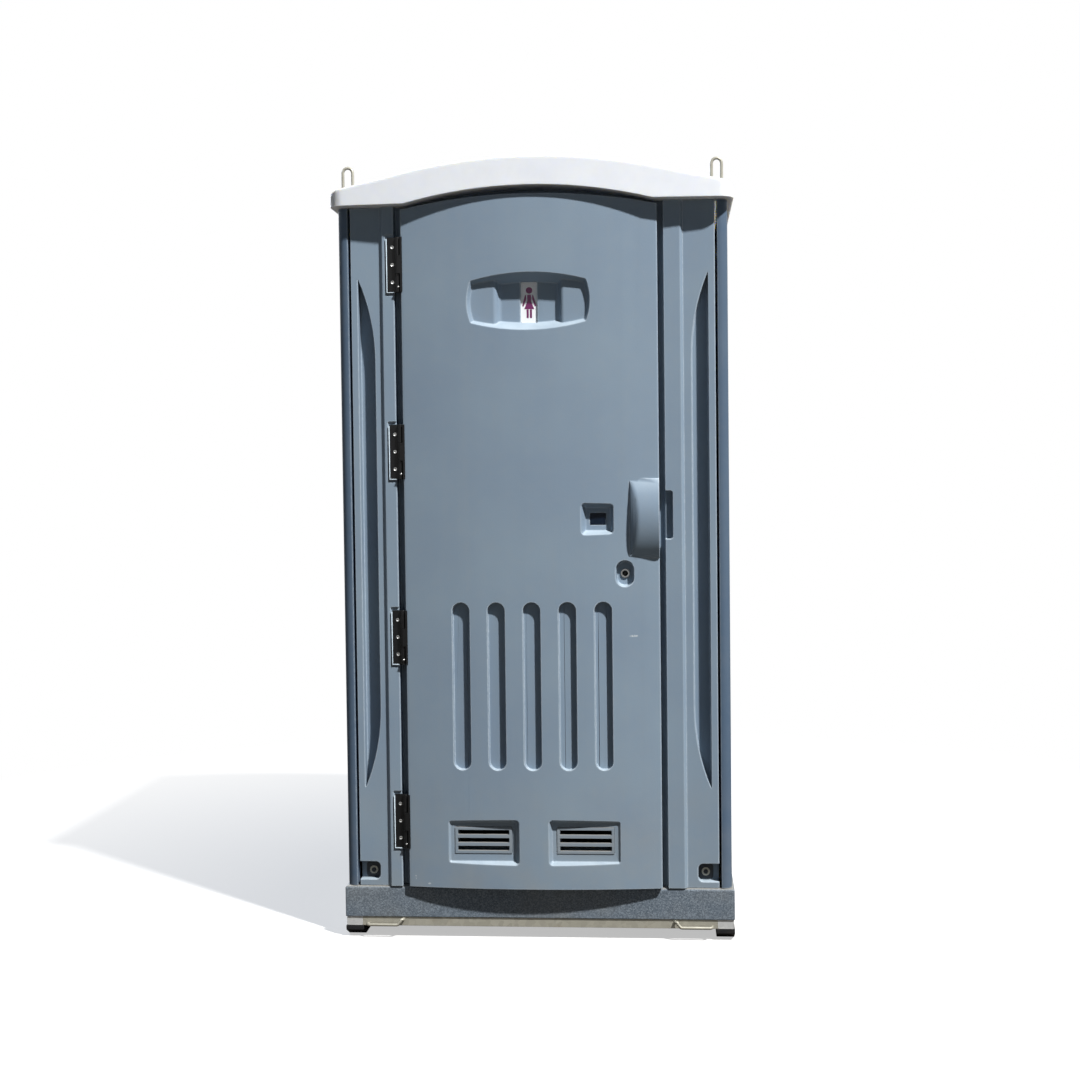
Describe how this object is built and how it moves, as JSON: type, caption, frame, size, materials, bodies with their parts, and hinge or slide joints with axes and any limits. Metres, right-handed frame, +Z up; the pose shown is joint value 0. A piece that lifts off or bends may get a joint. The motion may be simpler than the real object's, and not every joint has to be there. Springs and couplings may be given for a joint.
{
  "type": "portable toilet cabin",
  "caption": "Upright plastic toilet cabin on a steel skid, with a vaulted white roof, a bowed door with a sign recess, a lock, and a tank with a seat inside.",
  "frame": {"origin": "on the ground under the middle of the roof", "axes": "+X to the right of a person who faces the door, +Y from the door to the back wall, +Z up"},
  "size_m": [1.14, 1.25, 2.281],
  "materials": {
    "column_plastic": "moulded polyethylene, blue grey",
    "wall_plastic": "moulded polyethylene, slate blue",
    "inner_plastic": "moulded polyethylene, light grey",
    "base_plastic": "speckled granite grey polyethylene",
    "roof_plastic": "white translucent polyethylene",
    "runner_plastic": "black polyethylene",
    "tank_plastic": "black polyethylene",
    "seat_plastic": "dark grey polypropylene",
    "pipe_plastic": "light grey polyethylene pipe",
    "hinge_paint": "black powder coat",
    "galvanised_steel": "hot-dip galvanised",
    "lock_steel": "zinc-plated",
    "knob_plastic": "dark nylon",
    "window_plastic": "clear polycarbonate",
    "sign_plastic": "white plate",
    "paper_holder_plastic": "dark plastic",
    "tissue_paper": "white tissue"
  },
  "bodies": {
    "cabin": {"front_column_left": "column_plastic", "front_column_right": "column_plastic", "door_header": "column_plastic", "side_wall_left": "wall_plastic", "side_wall_right": "wall_plastic", "back_wall": "wall_plastic", "floor_pan": "base_plastic", "roof": "roof_plastic", "skid_runner_left": "runner_plastic", "skid_runner_right": "runner_plastic", "holding_tank": "tank_plastic", "seat_hinge_pin": "seat_plastic", "vent_pipe": "pipe_plastic", "vent_cap": "pipe_plastic", "hinge_frame_leaf_1": "hinge_paint", "hinge_frame_leaf_2": "hinge_paint", "hinge_frame_leaf_3": "hinge_paint", "hinge_frame_leaf_4": "hinge_paint", "frame_rail_left": "galvanised_steel", "frame_rail_right": "galvanised_steel", "frame_rail_front": "galvanised_steel", "frame_rail_rear": "galvanised_steel", "cross_member_front": "galvanised_steel", "cross_member_rear": "galvanised_steel", "tie_loop_front_left": "galvanised_steel", "tie_loop_front_right": "galvanised_steel", "tie_loop_rear_left": "galvanised_steel", "tie_loop_rear_right": "galvanised_steel", "lifting_eye_front_left": "galvanised_steel", "lifting_eye_front_right": "galvanised_steel", "lifting_eye_rear_left": "galvanised_steel", "lifting_eye_rear_right": "galvanised_steel", "strike_plate": "lock_steel", "paper_holder": "paper_holder_plastic"},
    "door": {"door_outer_skin": "column_plastic", "door_inner_skin": "inner_plastic", "door_vent_left": "inner_plastic", "door_vent_right": "inner_plastic", "sign_plate": "sign_plastic", "lock_case": "inner_plastic", "indicator_window": "window_plastic", "coat_hook": "inner_plastic", "hinge_door_leaf_1": "hinge_paint", "hinge_door_leaf_2": "hinge_paint", "hinge_door_leaf_3": "hinge_paint", "hinge_door_leaf_4": "hinge_paint"},
    "lock_turn": {"lock_knob": "knob_plastic", "indicator_dial": "knob_plastic"},
    "latch": {"latch_bolt": "lock_steel"},
    "key": {"key_cylinder": "lock_steel"},
    "seat": {"seat_ring": "seat_plastic"},
    "lid": {"seat_lid": "seat_plastic"},
    "roll": {"paper_roll": "tissue_paper"}
  },
  "joints": [
    {"name": "door_hinge", "type": "hinge", "parent": "cabin", "child": "door", "pos_m": [-0.378, -0.574, 0.34], "axis": [0, 0, -1], "range_deg": [0, 110]},
    {"name": "lock_turn", "type": "hinge", "parent": "door", "child": "lock_turn", "pos_m": [0.183, -0.5, 1.2045], "axis": [0, 1, 0], "range_deg": [0, 90]},
    {"name": "latch_slide", "type": "slide", "parent": "door", "child": "latch", "axis": [1, 0, 0], "range_m": [0, 0.026]},
    {"name": "key_turn", "type": "hinge", "parent": "door", "child": "key", "pos_m": [0.258, -0.56, 1.05], "axis": [0, 1, 0], "range_deg": [0, 90]},
    {"name": "seat_ring_hinge", "type": "hinge", "parent": "cabin", "child": "seat", "pos_m": [0, 0.513, 0.596], "axis": [-1, 0, 0], "range_deg": [0, 95]},
    {"name": "seat_lid_hinge", "type": "hinge", "parent": "seat", "child": "lid", "pos_m": [0, 0.513, 0.596], "axis": [1, 0, 0], "range_deg": [-95, 0]},
    {"name": "roll_turn", "type": "hinge", "parent": "cabin", "child": "roll", "pos_m": [0.484, 0.1175, 0.85], "axis": [1, 0, 0], "continuous": true}
  ],
  "couplings": [
    {"joint": "lock_turn", "follows": "latch_slide", "rad_per_m": 60.415}
  ]
}
